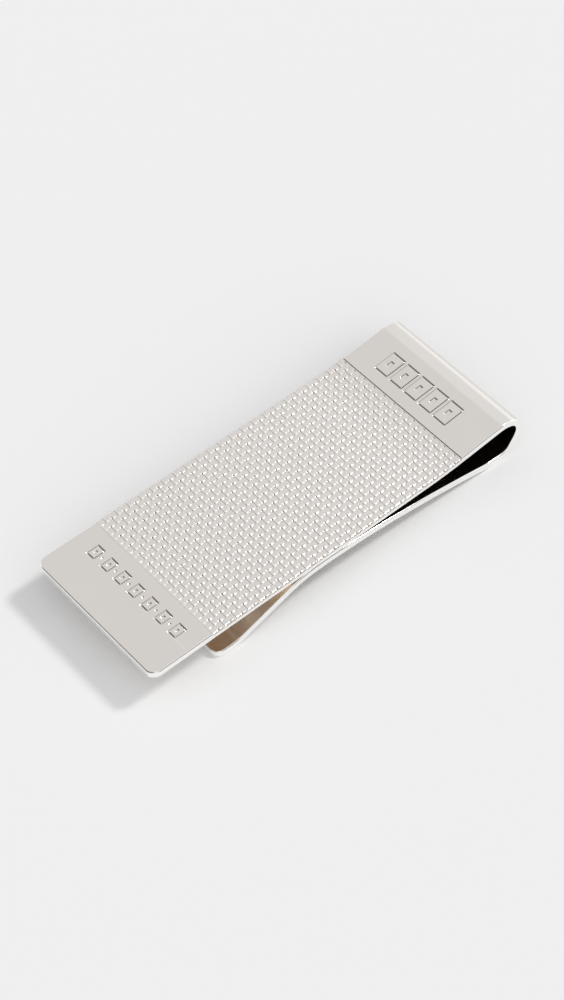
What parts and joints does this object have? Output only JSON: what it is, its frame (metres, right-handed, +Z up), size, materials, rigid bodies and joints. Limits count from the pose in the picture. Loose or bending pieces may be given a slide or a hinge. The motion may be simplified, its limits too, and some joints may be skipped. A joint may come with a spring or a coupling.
{
  "type": "money clip",
  "caption": "Folded spring-strip money clip: flat front leaf with a woven-pattern panel between two polished bands, and a bowed back leaf with a flat lip.",
  "frame": {"origin": "under the middle of the clip, on the surface it lies on", "axes": "+X along the clip from the open end towards the fold, +Y across the strip, +Z up out of the patterned face"},
  "size_m": [0.053, 0.0196, 0.006],
  "materials": {
    "polished_nickel": "polished nickel plate, faint hairlines",
    "woven_nickel": "nickel plate over a fine woven relief"
  },
  "bodies": {
    "leaf": {"spring_leaf": "polished_nickel"},
    "fold": {"fold_bend": "polished_nickel"},
    "front": {"front_plate": "polished_nickel", "weave_panel": "woven_nickel"}
  },
  "joints": [
    {"name": "sole_flex", "type": "hinge", "parent": "leaf", "child": "fold", "pos_m": [0.02199, 0, 0.00045], "axis": [0, 1, 0], "range_deg": [0, 5], "stiffness_Nm_per_rad": 1, "springref_deg": -1.15},
    {"name": "shoulder_flex", "type": "hinge", "parent": "fold", "child": "front", "pos_m": [0.02293, 0, 0.00551], "axis": [0, 1, 0], "range_deg": [0, 5], "stiffness_Nm_per_rad": 1, "springref_deg": -1.15}
  ],
  "couplings": [
    {"joint": "sole_flex", "follows": "shoulder_flex", "ratio": 1}
  ]
}
